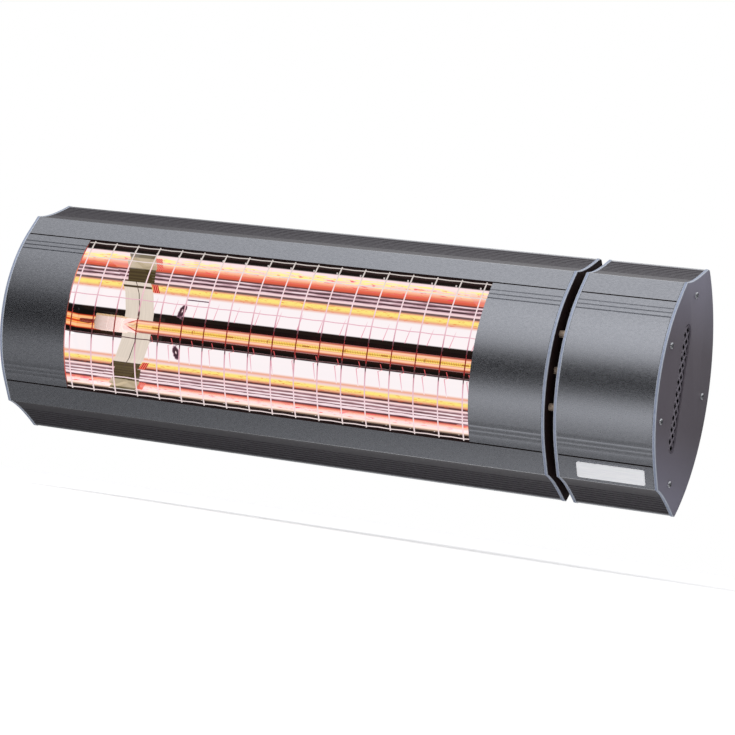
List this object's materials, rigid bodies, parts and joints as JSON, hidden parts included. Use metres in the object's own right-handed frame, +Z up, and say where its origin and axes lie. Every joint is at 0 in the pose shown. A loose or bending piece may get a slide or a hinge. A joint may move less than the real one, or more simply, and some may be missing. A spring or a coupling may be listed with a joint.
{
  "type": "infrared patio heater",
  "caption": "Horizontal infrared patio heater: anthracite housing with a lamp behind a wire guard, an end connection box and a tilting wall bracket.",
  "frame": {"origin": "middle of the wall bracket's flat back face", "axes": "+X along the heater towards its connection box, -Y the radiating front, +Y into the wall, +Z up"},
  "size_m": [0.61, 0.1937, 0.2008],
  "materials": {
    "anodised_housing": "anthracite anodised, fine brushed grain",
    "end_plate": "anthracite anodised plate with pale chamfered edges",
    "guard_wire": "bright stainless wire",
    "reflector_sheet": "polished aluminium, lit orange and white by the lamp",
    "quartz": "clear quartz glass",
    "hot_filament": "glowing tungsten coil",
    "lamp_ceramic": "matt cream steatite",
    "holder_strap": "satin spring steel",
    "lead_sleeve": "matt silicone sleeve",
    "black_plastic": "moulded black nylon",
    "vent_sheet": "matt black perforated sheet",
    "badge_metal": "bare satin name plate",
    "circuit_board": "green glass-fibre board",
    "steel_fastener": "zinc-plated steel",
    "powder_coated_steel": "fine-textured anthracite powder coat"
  },
  "bodies": {
    "wall_mount": {"wall_bracket": "powder_coated_steel", "left_pivot_bolt": "steel_fastener", "right_pivot_bolt": "steel_fastener", "left_pivot_nut": "steel_fastener", "right_pivot_nut": "steel_fastener"},
    "yoke": {"tilt_yoke": "powder_coated_steel", "left_slot_nut": "steel_fastener", "right_slot_nut": "steel_fastener", "left_slot_screw": "steel_fastener", "right_slot_screw": "steel_fastener"},
    "heater": {"body_housing": "anodised_housing", "box_housing": "anodised_housing", "left_end_plate": "end_plate", "body_right_end_plate": "end_plate", "box_left_end_plate": "end_plate", "box_right_end_plate": "end_plate", "left_front_panel": "anodised_housing", "right_front_panel": "anodised_housing", "box_front_panel": "anodised_housing", "guard_grille": "guard_wire", "reflector": "reflector_sheet", "reflector_left_end": "reflector_sheet", "reflector_right_end": "reflector_sheet", "lamp_tube": "quartz", "lamp_filament": "hot_filament", "lamp_left_seal": "quartz", "lamp_right_seal": "quartz", "lamp_left_cap": "lamp_ceramic", "lamp_right_cap": "lamp_ceramic", "lamp_left_holder": "holder_strap", "lamp_right_holder": "holder_strap", "left_lead": "lead_sleeve", "right_lead": "lead_sleeve", "lead_bush": "black_plastic", "vent_grid": "vent_sheet", "badge_plate": "badge_metal", "terminal_block": "lamp_ceramic", "control_board": "circuit_board", "cable_gland": "black_plastic", "gland_nut": "black_plastic", "gap_spacer_1": "steel_fastener", "gap_spacer_2": "steel_fastener", "gap_spacer_3": "steel_fastener", "left_plate_screw_1": "steel_fastener", "left_plate_screw_2": "steel_fastener", "left_plate_screw_3": "steel_fastener", "left_plate_screw_4": "steel_fastener", "left_plate_screw_5": "steel_fastener", "right_plate_screw_1": "steel_fastener", "right_plate_screw_2": "steel_fastener", "right_plate_screw_3": "steel_fastener", "right_plate_screw_4": "steel_fastener", "right_plate_screw_5": "steel_fastener"}
  },
  "joints": [
    {"name": "tilt", "type": "hinge", "parent": "wall_mount", "child": "yoke", "pos_m": [0, -0.039, 0], "axis": [1, 0, 0], "range_deg": [-45, 45]},
    {"name": "bracket_slide", "type": "slide", "parent": "yoke", "child": "heater", "axis": [1, 0, 0], "range_m": [-0.08, 0.08]}
  ]
}
